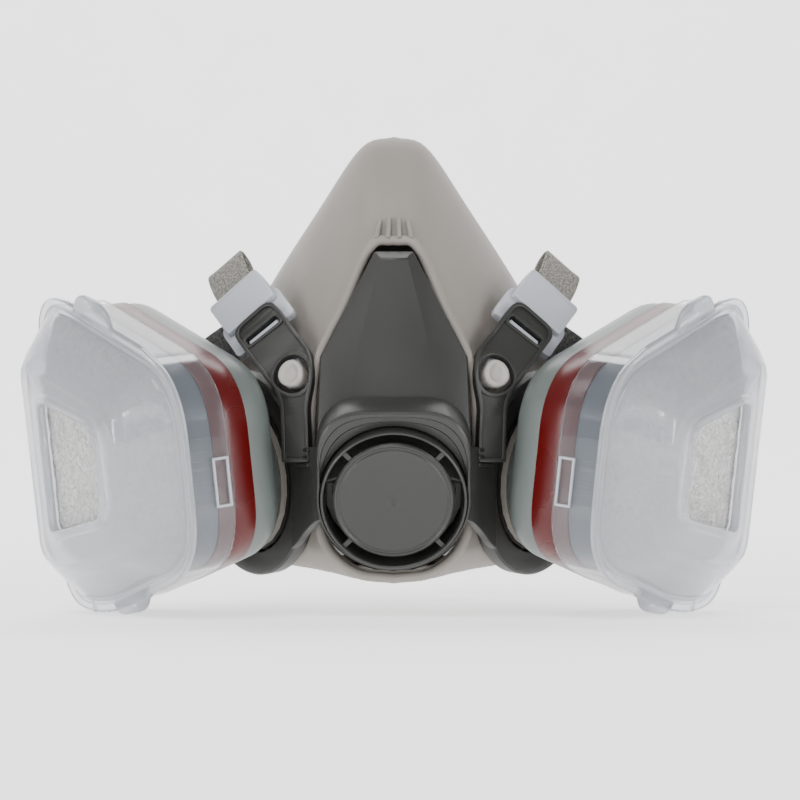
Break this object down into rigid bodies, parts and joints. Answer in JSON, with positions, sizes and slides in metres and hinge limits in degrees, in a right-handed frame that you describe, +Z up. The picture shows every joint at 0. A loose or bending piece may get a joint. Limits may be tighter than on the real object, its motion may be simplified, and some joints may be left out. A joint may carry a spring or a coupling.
{
  "type": "half face respirator",
  "caption": "Reusable half-face respirator: soft face seal, valve housing with a pull-off cover, twist-off side cartridges under clear pre-filter retainers, and head straps.",
  "frame": {"origin": "centre of the bounding box's underside", "axes": "+X to the wearer's left, -Y out of the mask's front, +Z up towards the nose"},
  "size_m": [0.2242, 0.1456, 0.1453],
  "materials": {
    "facepiece": "matt soft elastomer",
    "shell": "fine satin moulded plastic",
    "flap": "thin smooth silicone",
    "buckle": "white nylon",
    "webbing": "woven elastic",
    "cartridge": "smooth grey plastic",
    "sorbent": "packed black granules",
    "band": "glossy red film",
    "pad": "white fibrous fleece",
    "retainer": "milky clear plastic"
  },
  "bodies": {
    "mask": {"face_seal": "facepiece", "front_plate": "shell", "exhale_valve_seat": "shell", "harness_yoke": "shell", "buckle_r": "buckle", "buckle_l": "buckle", "crown_strap_r": "webbing", "crown_strap_l": "webbing", "neck_strap_r": "webbing", "neck_strap_l": "webbing", "crown_cradle": "shell", "neck_loop": "shell", "neck_hook": "shell", "inhale_port_r": "shell", "inhale_port_l": "shell", "port_gasket_r": "facepiece", "port_gasket_l": "facepiece"},
    "exhale_cover": {"exhale_cover": "shell"},
    "exhale_flap": {"exhale_flap": "flap"},
    "inhale_flap_r": {"inhale_flap_r": "flap"},
    "cartridge_r": {"cartridge_case_r": "cartridge", "sorbent_bed_r": "sorbent", "cartridge_grille_r": "cartridge", "label_band_r": "band"},
    "retainer_r": {"filter_retainer_r": "retainer", "filter_pad_r": "pad"},
    "inhale_flap_l": {"inhale_flap_l": "flap"},
    "cartridge_l": {"cartridge_case_l": "cartridge", "sorbent_bed_l": "sorbent", "cartridge_grille_l": "cartridge", "label_band_l": "band"},
    "retainer_l": {"filter_retainer_l": "retainer", "filter_pad_l": "pad"}
  },
  "joints": [
    {"name": "exhale_cover_pull", "type": "slide", "parent": "mask", "child": "exhale_cover", "axis": [0, -0.9397, -0.342], "range_m": [0, 0.01]},
    {"name": "exhale_flap_lift", "type": "slide", "parent": "mask", "child": "exhale_flap", "axis": [0, -0.9397, -0.342], "range_m": [0, 0.001], "stiffness_N_per_m": 30},
    {"name": "inhale_flap_lift_r", "type": "slide", "parent": "mask", "child": "inhale_flap_r", "axis": [-0.813, 0.5693, 0.1219], "range_m": [0, 0.0012], "stiffness_N_per_m": 30},
    {"name": "cartridge_twist_r", "type": "hinge", "parent": "mask", "child": "cartridge_r", "pos_m": [0.044, -0.01478, 0.0417], "axis": [0.813, -0.5693, -0.1219], "range_deg": [0, 60]},
    {"name": "retainer_pull_r", "type": "slide", "parent": "cartridge_r", "child": "retainer_r", "axis": [0.813, -0.5693, -0.1219], "range_m": [0, 0.03]},
    {"name": "inhale_flap_lift_l", "type": "slide", "parent": "mask", "child": "inhale_flap_l", "axis": [0.813, 0.5693, 0.1219], "range_m": [0, 0.0012], "stiffness_N_per_m": 30},
    {"name": "cartridge_twist_l", "type": "hinge", "parent": "mask", "child": "cartridge_l", "pos_m": [-0.044, -0.01478, 0.0417], "axis": [0.813, 0.5693, 0.1219], "range_deg": [0, 60]},
    {"name": "retainer_pull_l", "type": "slide", "parent": "cartridge_l", "child": "retainer_l", "axis": [-0.813, -0.5693, -0.1219], "range_m": [0, 0.03]}
  ]
}
